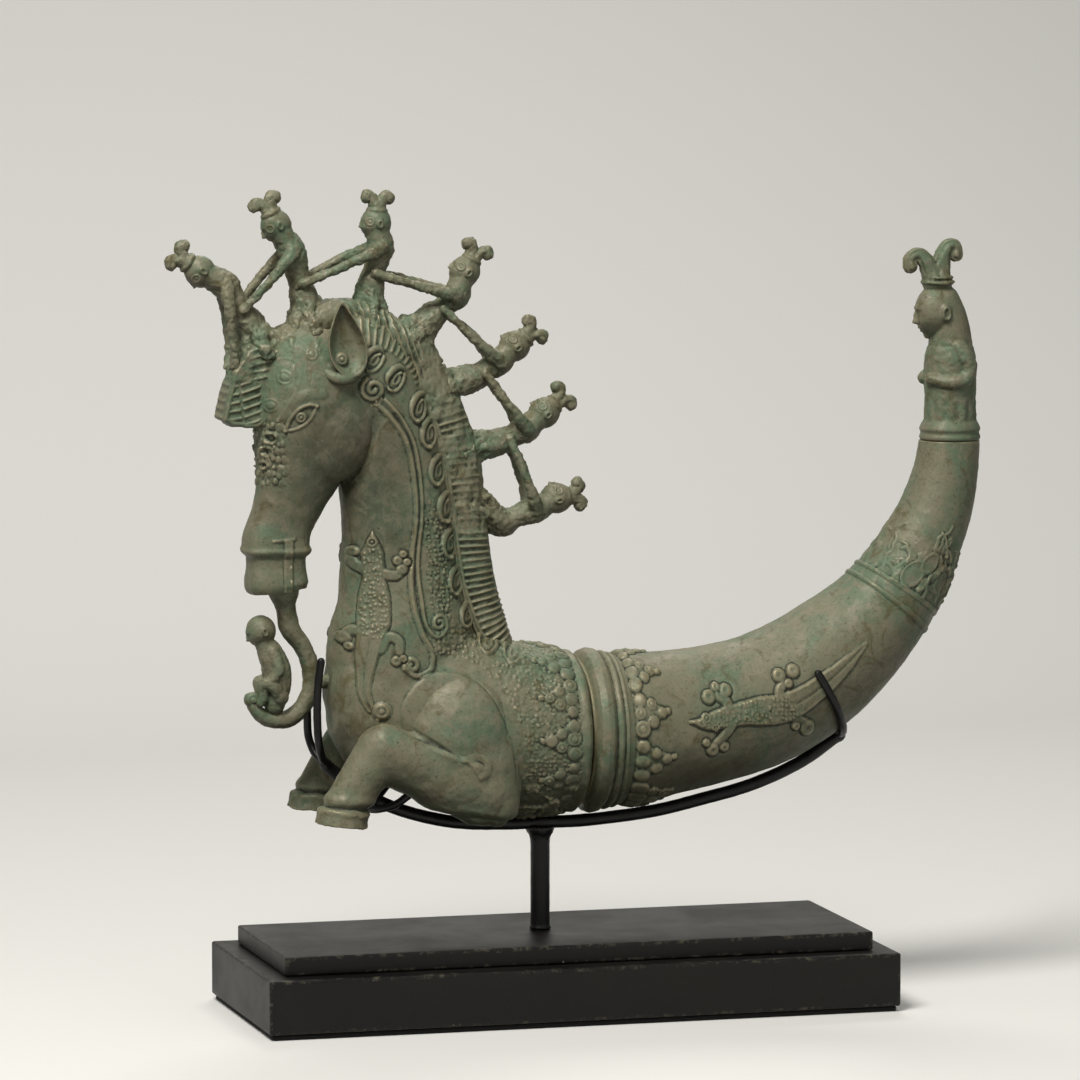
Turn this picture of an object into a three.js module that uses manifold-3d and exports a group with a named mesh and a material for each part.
// A bronze horn beast: a horse's forepart stopping a curved horn, seven riders gripping each other
// along the mane, a guardian on the horn's tip, held in a black rod cradle on a stepped plinth.
// Millimetres, +Z up, X along the plinth, the beast facing -X, its mid plane at Y = 0.
import * as THREE from 'three';
import { mergeVertices } from 'three/addons/utils/BufferGeometryUtils.js';
import Module from 'manifold-3d';

const wasm = await Module();
wasm.setup();

// Clearance between touching pieces
const SEAT_GAP = 0.3;

// Plinth
const PLINTH_LENGTH = 400;
const PLINTH_DEPTH = 160;
const LOWER_BOARD = 33;
const UPPER_BOARD = 11.5;
const LEDGE_X = 13.3;
const LEDGE_Y = 15;
const EDGE_ROUND = 1;
const UNDERLAY_THICKNESS = 3.2;
const UNDERLAY_INSET = 2;

// Post and its fixing under the plinth
const POST_X = -9.3;
const POST_DIAMETER = 12;
const POST_HEIGHT = 62.7;
const WELD_FLARE = 3.5;
const STUD_DIAMETER = 8;
const NUT_ACROSS = 15;
const NUT_HEIGHT = 6.5;
const WASHER_DIAMETER = 20;
const WASHER_THICKNESS = 1.6;

// Cradle rods
const SPINE_DIAMETER = 8;
const PRONG_DIAMETER = 5;
const CRADLE_SLACK = 3.5;
const FRONT_PRONG_SPREAD = 13;
const FRONT_PRONG_RISE = 68;
const CROSSBAR_AT = 0.13;
const CROSSBAR_REACH = 28;
const CROSSBAR_SWING = 20;
const CROSSBAR_RISE = 10.5;
const REAR_PRONG_PAST = 8;

// Horn and body castings
const HORN_WALL = 4;
const BODY_WALL = 5;
const SPIGOT_LENGTH = 14;
const FLANGE_END = 12;
const COLLAR_LENGTH = 24;
const TIP_HEIGHT = 227;
const TIP_SPIGOT_LENGTH = 10;
const LEG_SPREAD = 36.5;

// Horn: x, z, half height, half width, from the mouth to the tip, its upper half rising with TIP_HEIGHT
const HORN_BEND = 78.7;
const hornRise = (share) => HORN_BEND + share * (TIP_HEIGHT + 4 - HORN_BEND);
const HORN = [
  [FLANGE_END + 1, 52.3, 46.5, 46.5], [45, 52.4, 47.8, 47.8], [70, 55, 45, 45],
  [99, 59.2, 43, 43], [129, 66, 42, 42], [157.3, HORN_BEND, 40.1, 40.1],
  [182.2, hornRise(0.1103), 37.4, 37.4],
  [202.5, hornRise(0.2239), 33.4, 33.4], [218.5, hornRise(0.3434), 29.8, 29.8],
  [234.1, hornRise(0.5076), 25.8, 25.8], [246.5, hornRise(0.6717), 23, 23],
  [253.3, hornRise(0.8293), 20.6, 20.6], [256.5, hornRise(1), 18.6, 18.6],
];
// Barrel: from the flange to the front of the chest
const BARREL = [
  [FLANGE_END - 4, 52.3, 48.6, 48.6], [-14, 53.6, 53.5, 50], [-42, 57.5, 54, 49],
  [-70, 66, 55, 45], [-97, 76, 54, 39], [-120, 84, 48, 33], [-137, 88, 33, 24], [-144.5, 89, 13, 11],
];
// Neck: from inside the barrel up to the poll
const NECK = [
  [-98, 70, 44, 36], [-98, 100, 46.5, 36], [-97.5, 121, 45, 34], [-98, 139, 39.5, 30.5],
  [-99, 156, 37, 27.5], [-99.5, 176, 35, 25.5], [-101, 196, 34, 24.5], [-104.5, 216, 33, 24.5],
  [-109, 236, 33, 25], [-114.5, 256, 33, 25], [-121, 276, 32, 24.5], [-129, 293, 28, 22],
  [-137, 306, 21, 17], [-143, 314, 9, 8],
];
// Head: from the poll down to the chin
const HEAD = [
  [-140, 303, 16, 14], [-150, 285, 34, 25], [-155, 263, 35, 28.5], [-157.5, 241, 32, 26.5],
  [-161.5, 221, 27.5, 22.5], [-167.8, 201, 21.5, 18.5], [-173.5, 186, 19.2, 16.8],
  [-176.5, 175, 20.2, 17.5], [-176.5, 168, 19.6, 17], [-176.5, 164, 17, 15.5],
  [-176.5, 160, 17.6, 15.5], [-176.5, 151, 19, 16.5], [-176, 145, 17.5, 15],
];
// Mane comb: crest line with its height above the hide and its half width at the root
const COMB_TOP = [
  [-186, 285, 9, 11], [-173, 296, 9, 13], [-160, 303, 9, 14], [-147, 310.5, 10, 15],
  [-132, 313, 10, 15], [-117, 307, 11.5, 15], [-103, 297, 13, 15], [-92, 288, 16, 15],
  [-85.5, 276, 15.5, 15],
];
const COMB_BACK = [
  [-85.5, 276, 15.5, 15], [-77, 256, 16, 15], [-70, 236, 17.5, 15], [-65.5, 214, 18, 14.5],
  [-62, 190, 17.5, 14], [-59, 165, 17, 14], [-54, 142, 16, 14], [-44, 118, 13.5, 14],
  [-33, 107, 7, 12],
];
const COMB_RIBS = 20;
const RIB_DEPTH = 0.8;

// Riders, front to back: base, hips, shoulders, head and crown in the mid plane
const RIDERS = [
  [[-184, 290], [-193.5, 311], [-208, 333], [-223, 341], [-233, 348]],
  [[-155, 302], [-158.5, 324], [-166, 353], [-175.5, 368], [-180.5, 378]],
  [[-119, 305], [-116.5, 331], [-110.5, 354], [-113, 368.5], [-112.3, 379]],
  [[-93, 297], [-76, 312], [-63, 323], [-57, 338], [-51.5, 347.5]],
  [[-76, 266], [-51, 273], [-36, 282], [-25.5, 291.5], [-16.5, 298.5]],
  [[-62, 228], [-35, 233], [-19, 240], [-6.5, 250], [2, 257]],
  [[-55, 194], [-33, 183], [-13, 190.5], [1, 197], [10.5, 198.5]],
];
const RIDER_GIRTH = { base: 11, hips: 9, waist: 7, shoulder: 8.6, neck: 6.2, head: 8.4, crown: 5 };
const RIDER_ARM = 2.7;
const ARM_SPREAD = 8;
const CURL_REACH = 9;
const CURL_TUBE = 3.6;

// Cast relief on both flanks. A lizard is a chain of ovals, each from [x, z] to [x, z] with its half width
const RELIEF_HEIGHT = 2.1;
const NECK_LIZARD = [
  [[-121, 181], [-121, 162], 5.5], [[-121, 160], [-121, 118], 8.6], [[-124, 116], [-127, 76], 4.6],
  [[-124, 161], [-133, 166], 3.6], [[-117, 156], [-103, 157], 3.6],
  [[-125, 121], [-138, 118], 3.6], [[-118, 116], [-105, 112], 3.6],
];
const HORN_LIZARD = [
  [[74, 61], [98, 63], 6], [[99, 64], [141, 67], 8.4], [[170, 86], [192, 106], 3.8],
  [[101, 70], [92, 78], 4], [[101, 58], [92, 46], 4], [[130, 73], [133, 89], 4], [[139, 61], [153, 52], 4],
];
const NECK_LINE = [
  [-111, 251], [-102, 240], [-96, 222], [-92, 193], [-96, 162], [-96, 139], [-92, 122], [-87, 108],
  [-90, 97], [-98, 96],
];
const NECK_LINE_RADIUS = 2.2;
const NECK_COILS = [[-85, 241], [-79, 218], [-73, 195], [-71, 173], [-67, 150], [-60, 129]];
const EYE = [-165.5, 253];
const FACE_BOSSES = [[-174, 275, 4.6], [-182, 259, 4.6]];
const NECK_BOSSES = [[-121, 269, 7.5], [-118, 73, 5]];
// Raised triangles: where their base is, which way they point, and how many go round
const BARREL_TRIANGLES = { base: 3, pointing: -1, length: 29, first: 0, count: 12 };
const HORN_TRIANGLES = { base: 39, pointing: 1, length: 27, first: Math.PI / 10, count: 10 };
const LOWEST_TRIANGLE = 0.85;
const BAND_AT = 8 / 12;
const BAND_HALF = 5;
const BAND_TAPER = 0.8;

const finish = (color, roughness, metalness) => (name) => (
  new THREE.MeshStandardMaterial({ name, color, roughness, metalness }));
const bronze = finish(0x5f6658, 0.62, 0.75);
const blackPaint = finish(0x17171a, 0.45, 0.2);
const steel = finish(0x8d9094, 0.4, 1);
const felt = finish(0x141414, 0.95, 0);

// A closed mesh given as points and triangles, turned the right way out, as a solid.
function solidFrom(points, faces) {
  let volume = 0;
  const cross = new THREE.Vector3();
  for (let i = 0; i < faces.length; i += 3) {
    cross.crossVectors(points[faces[i + 1]], points[faces[i + 2]]);
    volume += points[faces[i]].dot(cross);
  }
  const turned = volume < 0 ? faces.slice().reverse() : faces;
  const mesh = new wasm.Mesh({
    numProp: 3,
    vertProperties: Float32Array.from(points.flatMap((p) => [p.x, p.y, p.z])),
    triVerts: Uint32Array.from(turned),
  });
  return new wasm.Manifold(mesh);
}

// A three.js geometry as a solid.
function solidOf(geometry) {
  const bare = geometry.clone();
  bare.deleteAttribute('normal');
  bare.deleteAttribute('uv');
  const merged = mergeVertices(bare, 1e-4);
  const place = merged.getAttribute('position');
  const points = [];
  for (let i = 0; i < place.count; i++) {
    points.push(new THREE.Vector3().fromBufferAttribute(place, i));
  }
  const faces = [];
  const index = Array.from(merged.index.array);
  for (let i = 0; i < index.length; i += 3) {
    const [a, b, c] = index.slice(i, i + 3);
    if (a !== b && b !== c && c !== a) faces.push(a, b, c);
  }
  return solidFrom(points, faces);
}

// A closed skin over rings of equal length, fanned shut at both ends.
function skin(rings) {
  const sides = rings[0].length;
  const points = rings.flat();
  const faces = [];
  for (let i = 0; i + 1 < rings.length; i++) {
    for (let j = 0; j < sides; j++) {
      const a = i * sides + j;
      const b = i * sides + (j + 1) % sides;
      faces.push(a, b, b + sides, a, b + sides, a + sides);
    }
  }
  for (const last of [false, true]) {
    const ring = last ? rings[rings.length - 1] : rings[0];
    const start = last ? (rings.length - 1) * sides : 0;
    const hub = points.length;
    points.push(ring.reduce((sum, p) => sum.add(p), new THREE.Vector3()).divideScalar(sides));
    for (let j = 0; j < sides; j++) {
      const a = start + j;
      const b = start + (j + 1) % sides;
      faces.push(...(last ? [hub, a, b] : [hub, b, a]));
    }
  }
  return solidFrom(points, faces);
}

// The place, direction and half sizes at t along a list of [x, z, up, wide] stations.
const curves = new Map();
function along(stations, t) {
  if (!curves.has(stations)) {
    curves.set(stations, [
      new THREE.CatmullRomCurve3(stations.map(([x, z]) => new THREE.Vector3(x, 0, z))),
      new THREE.CatmullRomCurve3(stations.map(([, , up, wide]) => new THREE.Vector3(up, wide, 0)))]);
  }
  const [path, size] = curves.get(stations);
  const at = path.getPoint(t);
  const ahead = path.getTangent(t);
  const half = size.getPoint(t);
  return { at, ahead, normal: new THREE.Vector3(-ahead.z, 0, ahead.x), up: half.x, wide: half.y };
}

// A body of oval sections across a line in the plane Y = y, swollen by grow on every side.
function loft(stations, { sides, steps, grow = 0, y = 0, ribs = 0, ribDepth = 0 }) {
  const rings = [];
  for (let i = 0; i <= steps; i++) {
    const { at, ahead, normal, up, wide } = along(stations, i / steps);
    const end = i === 0 ? -1 : Number(i === steps);
    at.addScaledVector(ahead, end * grow);
    const rib = ribs > 0 && i % 2 === 1 ? ribDepth : 0;
    const ring = [];
    for (let j = 0; j < sides; j++) {
      const turn = (j / sides) * 2 * Math.PI;
      const p = at.clone().addScaledVector(normal, Math.cos(turn) * (up + grow - rib));
      p.y = y + Math.sin(turn) * (wide + grow - rib);
      ring.push(p);
    }
    rings.push(ring);
  }
  return skin(rings);
}

// A limb through [x, y, z, radius] knots, with domed ends.
function limb(knots, { sides = 8, steps = 6, grow = 0, flat = 1 } = {}) {
  const path = new THREE.CatmullRomCurve3(knots.map(([x, y, z]) => new THREE.Vector3(x, y, z)));
  const girth = new THREE.CatmullRomCurve3(knots.map((k) => new THREE.Vector3(k[3], 0, 0)));
  let side = new THREE.Vector3(0, 1, 0);
  if (Math.abs(path.getTangent(0).y) > 0.9) side = new THREE.Vector3(1, 0, 0);
  const rings = [];
  const addRing = (at, ahead, radius) => {
    side.addScaledVector(ahead, -side.dot(ahead)).normalize();
    const other = new THREE.Vector3().crossVectors(ahead, side);
    const ring = [];
    for (let j = 0; j < sides; j++) {
      const turn = (j / sides) * 2 * Math.PI;
      ring.push(at.clone().addScaledVector(side, Math.cos(turn) * radius * flat)
        .addScaledVector(other, Math.sin(turn) * radius));
    }
    rings.push(ring);
  };
  const dome = 0.55;
  for (let i = 0; i <= steps; i++) {
    const t = i / steps;
    const at = path.getPoint(t);
    const ahead = path.getTangent(t);
    const radius = girth.getPoint(t).x + grow;
    if (i === 0) addRing(at.clone().addScaledVector(ahead, -dome * radius), ahead, dome * radius);
    addRing(at, ahead, radius);
    if (i === steps) addRing(at.clone().addScaledVector(ahead, dome * radius), ahead, dome * radius);
  }
  return skin(rings);
}

// A ball or oval stretched to half sizes a, b, c, its long axis leaning by turn in the XZ plane.
function ball([x, y, z], [a, b, c], turn = 0, grow = 0, detail = 10) {
  const geometry = new THREE.SphereGeometry(1, detail, Math.round(detail * 0.7));
  geometry.scale(a + grow, b + grow, c + grow);
  geometry.rotateY(-turn);
  geometry.translate(x, y, z);
  return solidOf(geometry);
}

// A turned body on an axis along X at height z, from [x, radius] points that start and end on the axis.
function turned(profile, z, segments = 20) {
  const geometry = new THREE.LatheGeometry(profile.map(([x, r]) => new THREE.Vector2(r, x)), segments);
  geometry.rotateZ(-Math.PI / 2);
  geometry.rotateX(Math.PI / 2);
  geometry.translate(0, 0, z);
  return solidOf(geometry);
}

// A round bar of one diameter along a curve.
function rod(points, diameter, { sides = 8, steps = 24 } = {}) {
  const circle = new THREE.Shape();
  circle.absarc(0, 0, diameter / 2, 0, 2 * Math.PI, false);
  const path = new THREE.CatmullRomCurve3(points.map((p) => new THREE.Vector3(...p)));
  const options = { steps, curveSegments: sides / 2, extrudePath: path, bevelEnabled: false };
  return solidOf(new THREE.ExtrudeGeometry(circle, options));
}

const join = (...solids) => solids.reduce((whole, solid) => whole.add(solid));
const cut = (solid, ...tools) => tools.reduce((rest, tool) => rest.subtract(tool), solid);

// Half width of a casting at a point of its side view.
function hideAt(lofts, x, z) {
  let half = 0;
  for (const stations of lofts) {
    const samples = 100;
    let nearest = 4;
    let here = 0;
    for (let i = 0; i <= samples; i++) {
      const { at, ahead, normal, up, wide } = along(stations, i / samples);
      const away = Math.abs((x - at.x) * ahead.x + (z - at.z) * ahead.z);
      const off = ((x - at.x) * normal.x + (z - at.z) * normal.z) / up;
      if (Math.abs(off) < 1 && away < nearest) {
        nearest = away;
        here = wide * Math.sqrt(1 - off * off);
      }
    }
    half = Math.max(half, here);
  }
  return half;
}

// A raised line on both flanks of a casting.
const raised = (lofts, line, radius) => [1, -1].map((side) => limb(
  line.map(([x, z]) => [x, side * hideAt(lofts, x, z), z, radius]), { sides: 4, steps: line.length - 2 }));

// A low stud on a hide, tapering outward, its length and a corner lying along the way given.
function stud(at, outward, way, radius, options = {}) {
  const { stretch = 1, height = RELIEF_HEIGHT, root = RELIEF_HEIGHT, taper = 0.4, sides = 5 } = options;
  const thickness = height + root;
  const geometry = new THREE.CylinderGeometry(radius * (1 - taper), radius * (1 + taper), thickness, sides);
  geometry.translate(0, (height - root) / 2, 0);
  geometry.scale(1, 1, stretch);
  const across = new THREE.Vector3().crossVectors(outward, way);
  geometry.applyMatrix4(new THREE.Matrix4().makeBasis(across, outward, way).setPosition(at));
  return solidOf(geometry);
}
const flankStuds = (lofts, [x, z, radius], { lean = 0, ...options } = {}) => [1, -1].map((side) => stud(
  new THREE.Vector3(x, side * hideAt(lofts, x, z), z), new THREE.Vector3(0, side, 0),
  new THREE.Vector3(Math.sin(lean), 0, Math.cos(lean)), radius, options));

const lizard = (lofts, ovals) => ovals.flatMap(([[x1, z1], [x2, z2], half]) => flankStuds(
  lofts, [(x1 + x2) / 2, (z1 + z2) / 2, half],
  { lean: Math.atan2(x1 - x2, z1 - z2), stretch: Math.hypot(x1 - x2, z1 - z2) / 2 / half }));

// Raised triangles round a casting, those that would meet the cradle's spine left out.
function raisedTriangles(stations, { base, pointing, length, first, count }) {
  const shareAt = (x) => {
    let low = 0;
    let high = 0.5;
    const rising = along(stations, high).at.x > along(stations, low).at.x;
    for (let i = 0; i < 20; i++) {
      const middle = (low + high) / 2;
      if ((along(stations, middle).at.x < x) === rising) low = middle;
      else high = middle;
    }
    return low;
  };
  const pitch = (2 * Math.PI) / count;
  const forms = [];
  for (let k = 0; k < count; k++) {
    const turn = first + k * pitch;
    const { at, ahead, normal, up, wide } = along(stations, shareAt(base + (pointing * length) / 3));
    if (Math.sin(turn) * Math.sign(normal.z) < -LOWEST_TRIANGLE) continue;
    const outward = normal.clone().multiplyScalar(Math.sin(turn));
    outward.y = Math.cos(turn);
    const way = ahead.clone().multiplyScalar(Math.sign(ahead.x) * pointing);
    at.addScaledVector(normal, Math.sin(turn) * up);
    at.y = Math.cos(turn) * wide;
    forms.push(stud(at, outward, way, length * 0.48,
      { sides: 3, taper: 0.3, stretch: 1.25, height: RELIEF_HEIGHT * 0.6, root: RELIEF_HEIGHT * 2 }));
  }
  return forms;
}

// A solid as a named mesh.
function piece(name, solid, material) {
  const { vertProperties, triVerts } = solid.getMesh();
  const geometry = new THREE.BufferGeometry();
  geometry.setAttribute('position', new THREE.BufferAttribute(Float32Array.from(vertProperties), 3));
  geometry.setIndex(new THREE.BufferAttribute(Uint32Array.from(triVerts), 1));
  geometry.computeVertexNormals();
  const mesh = new THREE.Mesh(geometry, material(name));
  mesh.name = name;
  return mesh;
}

const object = new THREE.Group();

// Plinth boards
function board(length, depth, height, round) {
  const outline = new THREE.Shape();
  outline.moveTo(-length / 2 + round, -depth / 2);
  outline.lineTo(length / 2 - round, -depth / 2);
  outline.absarc(length / 2 - round, -depth / 2 + round, round, -Math.PI / 2, 0, false);
  outline.absarc(length / 2 - round, depth / 2 - round, round, 0, Math.PI / 2, false);
  outline.absarc(-length / 2 + round, depth / 2 - round, round, Math.PI / 2, Math.PI, false);
  outline.absarc(-length / 2 + round, -depth / 2 + round, round, Math.PI, Math.PI * 1.5, false);
  const bevel = EDGE_ROUND;
  const inset = { depth: height - 2 * bevel, bevelEnabled: true, bevelThickness: bevel, bevelSize: bevel };
  const geometry = new THREE.ExtrudeGeometry(outline, {
    ...inset, bevelOffset: -bevel, bevelSegments: 1, curveSegments: 2,
  });
  geometry.translate(0, 0, bevel);
  return geometry;
}
const drill = (diameter, from, to, sides = 16) => {
  const bore = new THREE.CylinderGeometry(diameter / 2, diameter / 2, to - from, sides);
  bore.rotateX(Math.PI / 2);
  bore.translate(POST_X, 0, (from + to) / 2);
  return solidOf(bore);
};
const lowerFoot = UNDERLAY_THICKNESS + SEAT_GAP;
const lowerTop = lowerFoot + LOWER_BOARD;
const upperFoot = lowerTop + SEAT_GAP;
const plinthTop = upperFoot + UPPER_BOARD;
const wrenchRoom = 4;
const counterbore = WASHER_DIAMETER + wrenchRoom;
const pocketRoof = lowerFoot + NUT_HEIGHT + WASHER_THICKNESS + wrenchRoom;
const studHole = drill(STUD_DIAMETER + 2 * SEAT_GAP, -1, plinthTop + 1);

const underlay = board(PLINTH_LENGTH - 2 * UNDERLAY_INSET, PLINTH_DEPTH - 2 * UNDERLAY_INSET,
  UNDERLAY_THICKNESS, 6);
object.add(piece('plinth_underlay', solidOf(underlay), felt));
const lower = board(PLINTH_LENGTH, PLINTH_DEPTH, LOWER_BOARD, 2).translate(0, 0, lowerFoot);
const pocket = drill(counterbore, lowerFoot - 1, pocketRoof, 24);
object.add(piece('plinth_lower_board', cut(solidOf(lower), studHole, pocket), blackPaint));
const upper = board(PLINTH_LENGTH - 2 * LEDGE_X, PLINTH_DEPTH - 2 * LEDGE_Y, UPPER_BOARD, 2)
  .translate(0, 0, upperFoot);
object.add(piece('plinth_upper_board', cut(solidOf(upper), studHole), blackPaint));

// Everything above the post is drawn from the top of the cradle's spine at the post
const cradleTop = plinthTop + SEAT_GAP + POST_HEIGHT + SPINE_DIAMETER;
const cradle = new THREE.Group();
cradle.position.z = cradleTop;
object.add(cradle);

// Cradle spine: under the chest and belly by its own line, then along the underside of the horn
const spineRadius = SPINE_DIAMETER / 2;
const prongRadius = PRONG_DIAMETER / 2;
const spineFront = [[-145.5, 36.5], [-130, 23.5], [-104, 9], [-67, -1.5], [-30, -4.2]];
const restAt = 0.43;
function underHorn(t, slack) {
  const { at, normal, up } = along(HORN, t);
  const foot = at.clone().addScaledVector(normal, -(up + SEAT_GAP + spineRadius + slack));
  return [foot.x, 0, foot.z];
}
const spinePoints = spineFront.map(([x, z]) => [x, 0, z]);
spinePoints.push([POST_X, 0, -spineRadius], [18, 0, -spineRadius]);
for (const share of [0.3, 0.5, 0.7, 0.86, 1]) {
  spinePoints.push(underHorn(restAt * share, CRADLE_SLACK * Math.sin(Math.PI * share)));
}
const spineEnd = spinePoints[spinePoints.length - 1];
const knobSize = spineRadius + 0.2;
const knob = ball(spineEnd, [knobSize, knobSize, knobSize], 0, 0, 8);
const spine = join(rod(spinePoints, SPINE_DIAMETER, { steps: 30 }), knob);
const spineRoom = rod(spinePoints, SPINE_DIAMETER + 2 * SEAT_GAP, { steps: 30 });
const knobRoom = ball(spineEnd, [knobSize, knobSize, knobSize], 0, 2 * SEAT_GAP, 8);

// Post: a turned bar with a weld flare saddled under the spine and a stud down through the boards
const postFoot = plinthTop + SEAT_GAP - cradleTop;
const studFoot = lowerFoot + 1 - cradleTop;
const postProfile = [
  [0, studFoot], [STUD_DIAMETER / 2, studFoot], [STUD_DIAMETER / 2, postFoot],
  [POST_DIAMETER / 2, postFoot], [POST_DIAMETER / 2, -SPINE_DIAMETER - WELD_FLARE * 1.6],
  [POST_DIAMETER / 2 + WELD_FLARE * 0.4, -SPINE_DIAMETER - WELD_FLARE * 0.6],
  [POST_DIAMETER / 2 + WELD_FLARE, -spineRadius], [0, -spineRadius],
];
const postBar = new THREE.LatheGeometry(postProfile.map(([r, z]) => new THREE.Vector2(r, z)), 16);
postBar.rotateX(Math.PI / 2).translate(POST_X, 0, 0);
cradle.add(piece('post', cut(solidOf(postBar), spineRoom), blackPaint));
cradle.add(piece('cradle_spine', spine, blackPaint));

const washerTop = pocketRoof - SEAT_GAP;
const boreThrough = STUD_DIAMETER + 2 * SEAT_GAP;
const washer = cut(drill(WASHER_DIAMETER, washerTop - WASHER_THICKNESS, washerTop, 24),
  drill(boreThrough, 0, washerTop + 1));
object.add(piece('post_washer', washer, steel));
const nutTop = washerTop - WASHER_THICKNESS - SEAT_GAP;
const nut = cut(drill(NUT_ACROSS / Math.cos(Math.PI / 6), nutTop - NUT_HEIGHT, nutTop, 6),
  drill(boreThrough, 0, washerTop + 1));
object.add(piece('post_nut', nut, steel));

// Horn casting: a turned collar of rings on a tapering curved tube, open at the mouth and the tip
const collarFoot = FLANGE_END + 0.8;
const collarRings = [
  [0, 0], [0, 44], [2.5, 45], [4.5, 48.6], [8, 50.4], [12, 50], [14.5, 47.8], [16, 49], [18, 49],
  [19.5, 47.4], [21.5, 48.2], [COLLAR_LENGTH, 47.2], [COLLAR_LENGTH, 0],
].map(([x, r]) => [collarFoot + x, r]);
const mouthZ = HORN[0][1];
const mouthRadius = HORN[0][2] - HORN_WALL;
const hornOuter = join(loft(HORN, { sides: 20, steps: 22 }), turned(collarRings, mouthZ));
const hornBore = loft(HORN, { sides: 10, steps: 12, grow: -HORN_WALL });
const openMouth = turned([[FLANGE_END - 2, 0], [FLANGE_END - 2, mouthRadius],
  [FLANGE_END + SPIGOT_LENGTH + 2, mouthRadius], [FLANGE_END + SPIGOT_LENGTH + 2, 0]], mouthZ);
const tip = along(HORN, 1);
const tipBoreRadius = tip.up - HORN_WALL;
const tipBore = new THREE.CylinderGeometry(tipBoreRadius, tipBoreRadius, 2 * TIP_SPIGOT_LENGTH + 4, 16);
tipBore.rotateX(Math.PI / 2).translate(tip.at.x, 0, TIP_HEIGHT);
const tipTrim = new THREE.BoxGeometry(60, 60, 20).translate(tip.at.x, 0, TIP_HEIGHT + 10);
const figurine = new THREE.Group();
cradle.add(figurine);
const bandProfile = [[-1, -2], [-1, 1.3], [1, 1.3], [1, -2], [-1, -2]].map(([way, out]) => (
  new THREE.Vector2(along(HORN, BAND_AT).up + out - way * BAND_TAPER, way * BAND_HALF)));
const bandRing = new THREE.LatheGeometry(bandProfile, 14);
const bandSeat = along(HORN, BAND_AT);
const bandTurn = new THREE.Quaternion().setFromUnitVectors(new THREE.Vector3(0, 1, 0), bandSeat.ahead);
bandRing.applyQuaternion(bandTurn);
bandRing.translate(bandSeat.at.x, 0, bandSeat.at.z);
// The lizard's tail leaves a lane free for the rear prongs, which wrap the horn there
const rest = along(HORN, restAt);
const prongLane = new THREE.BoxGeometry(3 * PRONG_DIAMETER, 120, 80);
prongLane.translate(rest.at.x - PRONG_DIAMETER / 2, 0, rest.at.z);
const hornLizard = cut(join(...lizard([HORN], HORN_LIZARD)), solidOf(prongLane));
const hornRelief = join(...raisedTriangles(HORN, HORN_TRIANGLES), solidOf(bandRing), hornLizard);
const horn = cut(join(hornOuter, hornRelief), hornBore, openMouth, solidOf(tipBore), solidOf(tipTrim));
figurine.add(piece('horn', horn, bronze));

// Forepart casting: barrel, neck and head in one, hollow, with a spigot that stops the horn's mouth
const spigotRadius = mouthRadius - SEAT_GAP;
const flangeRings = [
  [FLANGE_END - 16, 0], [FLANGE_END - 16, 48.5], [FLANGE_END - 8, 50], [FLANGE_END - 4, 50.5],
  [FLANGE_END - 1, 49], [FLANGE_END, 46.5], [FLANGE_END, spigotRadius],
  [FLANGE_END + SPIGOT_LENGTH, spigotRadius], [FLANGE_END + SPIGOT_LENGTH, 0],
];
const bodyForms = (grow, fine) => [
  loft(BARREL, { sides: fine ? 20 : 10, steps: fine ? 14 : 7, grow }),
  loft(NECK, { sides: fine ? 16 : 8, steps: fine ? 13 : 8, grow }),
];
const headForm = (grow) => loft(HEAD, { sides: 14, steps: 24, grow });
const bodyBore = join(...bodyForms(-BODY_WALL, false),
  turned([[-20, 0], [-20, 40], [FLANGE_END - 6, spigotRadius - HORN_WALL],
    [FLANGE_END + SPIGOT_LENGTH + 1, spigotRadius - HORN_WALL],
    [FLANGE_END + SPIGOT_LENGTH + 1, 0]], mouthZ));
const hide = [NECK, BARREL];
const bodyRelief = join(
  ...lizard(hide, NECK_LIZARD),
  ...raised(hide, NECK_LINE, NECK_LINE_RADIUS),
  ...NECK_COILS.flatMap(([x, z]) => flankStuds(hide, [x, z, 4], { stretch: 1.7, lean: -0.3, sides: 4 })),
  ...NECK_BOSSES.flatMap((boss) => flankStuds(hide, boss)),
  ...flankStuds([HEAD], [...EYE, 4.5], { stretch: 2.2, lean: 0.9, sides: 6, height: 1.8 }),
  ...FACE_BOSSES.flatMap((boss) => flankStuds([HEAD], boss, { height: 1.5, sides: 4 })),
  ...raisedTriangles(BARREL, BARREL_TRIANGLES));
const bodyOuter = join(...bodyForms(0, true), headForm(0), turned(flangeRings, mouthZ));
const forepart = cut(join(bodyOuter, bodyRelief), bodyBore);
figurine.add(piece('horse_forepart', forepart, bronze));
const bossRoom = NECK_BOSSES.flatMap(([x, z, r]) => flankStuds(hide, [x, z, r + 2 * SEAT_GAP],
  { height: RELIEF_HEIGHT + SEAT_GAP }));
const bodyRoom = join(...bodyForms(SEAT_GAP, true), ...bossRoom);
const headRoom = headForm(SEAT_GAP);

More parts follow.
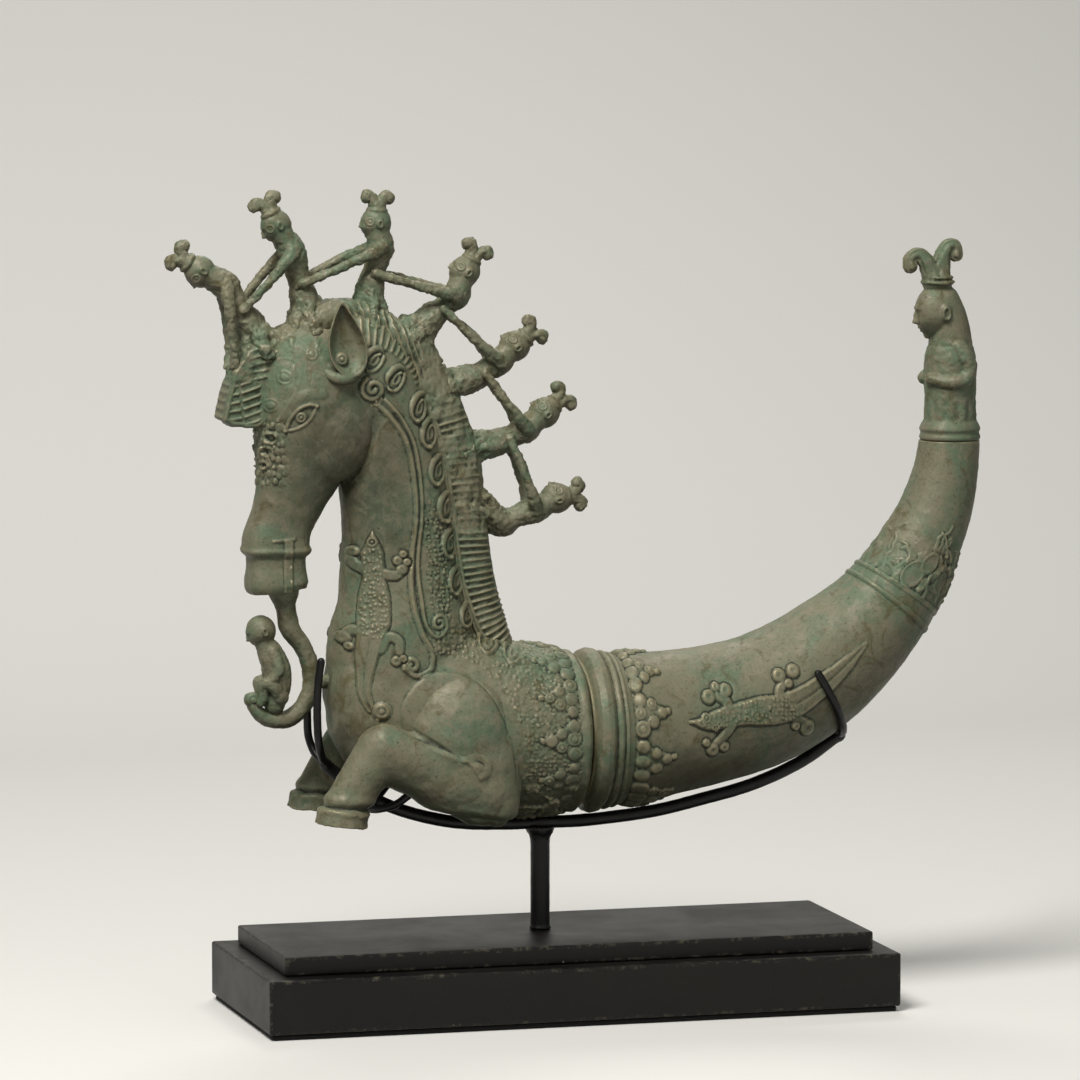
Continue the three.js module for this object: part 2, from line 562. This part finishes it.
// Forelegs: a shoulder boss, a folded arm, a shank and a hoof on each side
function foreleg(side) {
  const y = side * LEG_SPREAD;
  const boss = ball([-67.5, side * 30, 55.5], [36, 26, 40], 0, 0, 12);
  const elbow = ball([-56, side * 35, 24], [25, 21, 23.7], 0, 0, 9);
  const arm = limb([[-56, y, 23, 22.5], [-82, y, 31, 20], [-102, y, 41, 18.5], [-119, y, 48, 17.5]],
    { sides: 10, steps: 5, flat: 0.9 });
  const shank = limb([[-117, y, 48, 17], [-131, y, 34, 15.5], [-141, y, 17, 14.5], [-144, y, 5, 15.5]],
    { sides: 10, steps: 5, flat: 0.85 });
  const ground = new THREE.BoxGeometry(80, 60, 20).rotateY(-0.12).translate(-140, y, -6.5);
  return cut(join(boss, elbow, arm, cut(shank, solidOf(ground))), bodyRoom);
}
const forelegs = { left: foreleg(1), right: foreleg(-1) };
for (const [hand, solid] of Object.entries(forelegs)) {
  figurine.add(piece(`foreleg_${hand}`, solid, bronze));
}

// Mane comb: a plain crest over the poll and a ribbed one down the back of the neck
const combForms = (grow) => join(
  loft(COMB_TOP, { sides: 8, steps: 12, grow }),
  loft(COMB_BACK, { sides: 8, steps: 2 * COMB_RIBS, grow, ribs: COMB_RIBS, ribDepth: RIB_DEPTH }));
const comb = cut(combForms(0), bodyRoom, headRoom);
figurine.add(piece('mane_comb', comb, bronze));
const combRoom = combForms(SEAT_GAP);
const seatRoom = join(loft(COMB_TOP, { sides: 8, steps: 12, grow: SEAT_GAP }),
  loft(COMB_BACK, { sides: 8, steps: 21, grow: 2 * SEAT_GAP }));

// Forelock visor: a fringe plate that stands out over the forehead
const visorOutline = new THREE.Shape();
visorOutline.moveTo(-196, 293);
visorOutline.lineTo(-205, 279);
visorOutline.lineTo(-212, 251);
visorOutline.quadraticCurveTo(-202, 245, -190, 246);
visorOutline.quadraticCurveTo(-178, 252, -174, 270);
visorOutline.quadraticCurveTo(-172, 284, -176, 292);
visorOutline.lineTo(-186, 298);
const visorHalf = 13;
const visorPlate = new THREE.ExtrudeGeometry(visorOutline, {
  depth: 2 * visorHalf - 6, bevelEnabled: true, bevelThickness: 3, bevelSize: 2, bevelOffset: -2,
  bevelSegments: 2, curveSegments: 4,
});
visorPlate.rotateX(Math.PI / 2).translate(0, visorHalf - 3, 0);
const visor = cut(solidOf(visorPlate), headRoom, bodyRoom, combRoom);
figurine.add(piece('forelock_visor', visor, bronze));
const visorRoom = solidOf(visorPlate.clone());

// Ears: teardrop cups standing off the side of the head
function ear(side) {
  const rings = [];
  const steps = [[14, 0.5], [24, 0.8], [30, 1], [31, 0.88], [27.5, 0.62], [26, 0.3]];
  const sides = 16;
  for (const [out, size] of steps) {
    const ring = [];
    for (let j = 0; j < sides; j++) {
      const turn = (j / sides) * 2 * Math.PI;
      const taper = 1 - 0.45 * Math.cos(turn);
      const x = -139 + Math.sin(turn) * 10.5 * size * taper + Math.cos(turn) * -3 * size;
      ring.push(new THREE.Vector3(x, side * out, 300 + Math.cos(turn) * 23 * size));
    }
    rings.push(ring);
  }
  return cut(skin(rings), bodyRoom, headRoom, combRoom);
}
figurine.add(piece('ear_left', ear(1), bronze));
figurine.add(piece('ear_right', ear(-1), bronze));

// Riders: each stands or leans out on the comb and grips the waist of the one in front
const mix = (a, b, share) => a.map((v, i) => v + (b[i] - v) * share);
function riderTrunk([base, hips, shoulder, head, crown], grow = 0) {
  const waist = mix(hips, shoulder, 0.4);
  const neck = mix(shoulder, head, 0.55);
  const girth = RIDER_GIRTH;
  const knots = [[base, girth.base], [hips, girth.hips], [waist, girth.waist],
    [shoulder, girth.shoulder], [neck, girth.neck], [head, girth.head], [crown, girth.crown]];
  return limb(knots.map(([[x, z], r]) => [x, 0, z, r]), { sides: 7, steps: 8, grow });
}
function topknot([head, crown], reach, tube) {
  const rise = new THREE.Vector2(crown[0] - head[0], crown[1] - head[1]).normalize();
  const spread = new THREE.Vector2(-rise.y, rise.x);
  const at = (r, s) => [crown[0] + rise.x * r * reach + spread.x * s * reach, 0,
    crown[1] + rise.y * r * reach + spread.y * s * reach];
  return [1, -1].map((side) => limb([
    [...at(-0.35, 0), tube * 1.3], [...at(0.35, side * 0.28), tube], [...at(0.78, side * 0.6), tube],
    [...at(0.6, side * 0.9), tube],
  ], { sides: 5, steps: 3 }));
}
const hands = RIDERS.map((rider, i) => {
  if (i === 0) return [-203, 284];
  const [, hips, shoulder] = RIDERS[i - 1];
  return mix(hips, shoulder, 0.3);
});
const riderSolids = RIDERS.map((rider, i) => {
  const [, , shoulder, head, crown] = rider;
  const arms = [1, -1].map((side) => {
    const elbow = mix(shoulder, hands[i], 0.5);
    return limb([
      [shoulder[0], side * ARM_SPREAD * 0.7, shoulder[1] + 1, RIDER_ARM * 1.5],
      [elbow[0], side * ARM_SPREAD * 1.15, elbow[1], RIDER_ARM * 1.1],
      [hands[i][0], side * ARM_SPREAD, hands[i][1], RIDER_ARM * 1.1],
    ], { sides: 5, steps: 2 });
  });
  return join(riderTrunk(rider), ...topknot([head, crown], CURL_REACH, CURL_TUBE), ...arms);
});
riderSolids.forEach((solid, i) => {
  const carriers = [seatRoom, headRoom, bodyRoom];
  carriers.push(i === 0 ? visorRoom : riderTrunk(RIDERS[i - 1], SEAT_GAP));
  figurine.add(piece(`rider_${i + 1}`, cut(solid, ...carriers), bronze));
});

// Tongue scroll: hangs from the chin, swings back to a lug on the chest and curls forward
const scrollLine = [
  [-172, 0, 145, 9.5], [-170.5, 0, 134, 6], [-168, 0, 122, 6.5], [-160, 0, 110, 5.5],
  [-155, 0, 95, 5.2], [-157, 0, 78, 5.2], [-168, 0, 66.5, 5.4], [-181, 0, 66, 5],
  [-190, 0, 73, 4.2], [-193, 0, 79, 4.6],
];
const scrollForm = (grow) => join(
  limb(scrollLine, { sides: 8, steps: 20, grow }),
  limb([[-156, 0, 87, 4.6], [-146, 0, 88, 5], [-136, 0, 88, 6]], { sides: 8, steps: 2, grow }));
figurine.add(piece('tongue_scroll', cut(scrollForm(0), bodyRoom, headRoom), bronze));

// Crouching figure seated in the scroll
const croucherTrunk = [
  [-184, 0, 112, 6.5], [-180, 0, 107, 8.4], [-176.5, 0, 97, 9], [-176.5, 0, 86, 8.8], [-178, 0, 74, 6.5],
];
const croucher = join(
  ball([-186, 0, 120.5], [9.4, 8.6, 9.8], 0, 0, 8),
  limb(croucherTrunk, { sides: 8, steps: 4 }),
  ...[1, -1].flatMap((side) => {
    const arm = [[-180, side * 6, 107, 4], [-177.5, side * 8.5, 98, 3.4], [-183, side * 7, 90, 3.4]];
    const leg = [[-176, side * 6, 80, 4.6], [-183, side * 6.4, 89, 4.4], [-184, side * 5.6, 77, 3.6]];
    return [limb(arm, { sides: 6, steps: 2 }), limb(leg, { sides: 6, steps: 3 })];
  }));
figurine.add(piece('pendant_figure', cut(croucher, scrollForm(SEAT_GAP), headRoom), bronze));

// Guardian on the horn's tip: a ringed plug, a robe with folded arms, a head and two scrolls of hair
const ringZ = TIP_HEIGHT + SEAT_GAP;
const tipX = tip.at.x;
const plugRadius = tipBoreRadius - SEAT_GAP;
const robeProfile = [
  [0, -TIP_SPIGOT_LENGTH], [plugRadius, -TIP_SPIGOT_LENGTH], [plugRadius, 0], [18.6, 0], [19.4, 2],
  [18.6, 4], [19.2, 7], [18.2, 10], [16.4, 13], [16, 26], [16.4, 42], [15.6, 52], [12.6, 60],
  [8.5, 66], [0, 68],
];
const robe = new THREE.LatheGeometry(robeProfile.map(([r, z]) => new THREE.Vector2(r, ringZ + z)), 16);
robe.rotateX(Math.PI / 2).translate(tipX, 0, 0);
const headCentre = [tipX - 7, 0, ringZ + 79.2];
const onTip = (line, sides, steps) => limb(
  line.map(([x, y, z, r]) => [tipX + x, y, ringZ + z, r]), { sides, steps });
const foldedArm = (side) => [
  [2.5, side * 12, 54.7, 5.5], [7.5, side * 15, 40.7, 5], [-0.5, side * 16, 31.7, 4.6],
  [-14.5, side * 8, 32.7, 4.2],
];
const frontScroll = [
  [-11.5, 0, 100, 7], [-15, 0, 108.7, 4.5], [-20, 0, 114.7, 4], [-24.5, 0, 113.2, 4], [-25.3, 0, 106.7, 4.6],
];
const rearScroll = [
  [-7.5, 0, 100, 7], [-5.5, 0, 108.7, 4.5], [-3, 0, 114.7, 4], [0, 0, 118.9, 3.8], [4, 0, 117.5, 3.8],
  [4.3, 0, 112.2, 4.4],
];
const guardian = join(
  solidOf(robe),
  ball(headCentre, [14.6, 13, 18.5], 0, 0, 10),
  onTip([[-1, 0, 72, 11], [0, 0, 58, 13.5]], 8, 1),
  onTip(foldedArm(1), 6, 4),
  onTip(foldedArm(-1), 6, 4),
  onTip(frontScroll, 5, 6),
  onTip(rearScroll, 5, 6));
figurine.add(piece('tip_figure', guardian, bronze));

// Prongs and crossbar welded to the spine
const frontEnd = spinePoints[0];
for (const [hand, side] of [['left', 1], ['right', -1]]) {
  const y = side * FRONT_PRONG_SPREAD;
  const rise = [
    [frontEnd[0], 0, frontEnd[2]], [frontEnd[0] - 4, y * 0.6, frontEnd[2] + 5],
    [frontEnd[0] - 7.5, y, frontEnd[2] + 15], [frontEnd[0] - 8.5, y, frontEnd[2] + 30],
    [frontEnd[0] - 6, y, frontEnd[2] + FRONT_PRONG_RISE],
  ];
  const half = new THREE.BoxGeometry(60, 60, 200).translate(frontEnd[0], -side * (30 - SEAT_GAP / 2), 60);
  const prong = cut(rod(rise, PRONG_DIAMETER, { sides: 6, steps: 12 }), spineRoom, solidOf(half));
  cradle.add(piece(`front_prong_${hand}`, prong, blackPaint));
}
for (const [hand, side] of [['left', 1], ['right', -1]]) {
  const reach = rest.up + prongRadius + SEAT_GAP;
  const points = [];
  const turns = 7;
  const sweep = Math.PI / 2 + REAR_PRONG_PAST / reach;
  for (let i = 0; i <= turns; i++) {
    const turn = -Math.PI / 2 + (sweep * i) / turns;
    const p = rest.at.clone().addScaledVector(rest.normal, Math.sin(turn) * reach);
    points.push([p.x, side * Math.cos(turn) * (reach + SEAT_GAP), p.z]);
  }
  const half = new THREE.BoxGeometry(60, 60, 200);
  half.translate(spineEnd[0], -side * (30 - SEAT_GAP / 2), spineEnd[2]);
  const prong = cut(rod(points, PRONG_DIAMETER, { sides: 6, steps: 14 }), spineRoom, knobRoom, solidOf(half));
  cradle.add(piece(`rear_prong_${hand}`, prong, blackPaint));
}
const spinePath = new THREE.CatmullRomCurve3(spinePoints.map((p) => new THREE.Vector3(...p)));
const weldAt = spinePath.getPoint(CROSSBAR_AT);
const barLow = weldAt.z - (spineRadius + prongRadius + SEAT_GAP) * 1.15;
const crossbarLine = [];
for (const share of [-1, -0.8, -0.4, 0, 0.4, 0.8, 1]) {
  crossbarLine.push([weldAt.x + CROSSBAR_SWING * share ** 2, share * CROSSBAR_REACH,
    barLow + CROSSBAR_RISE * share ** 4]);
}
const legRoom = join(...Object.values(forelegs)).translate([0, 0, -SEAT_GAP]);
const crossbar = cut(rod(crossbarLine, PRONG_DIAMETER, { sides: 6, steps: 14 }), spineRoom, legRoom);
cradle.add(piece('belly_crossbar', crossbar, blackPaint));

export default object;
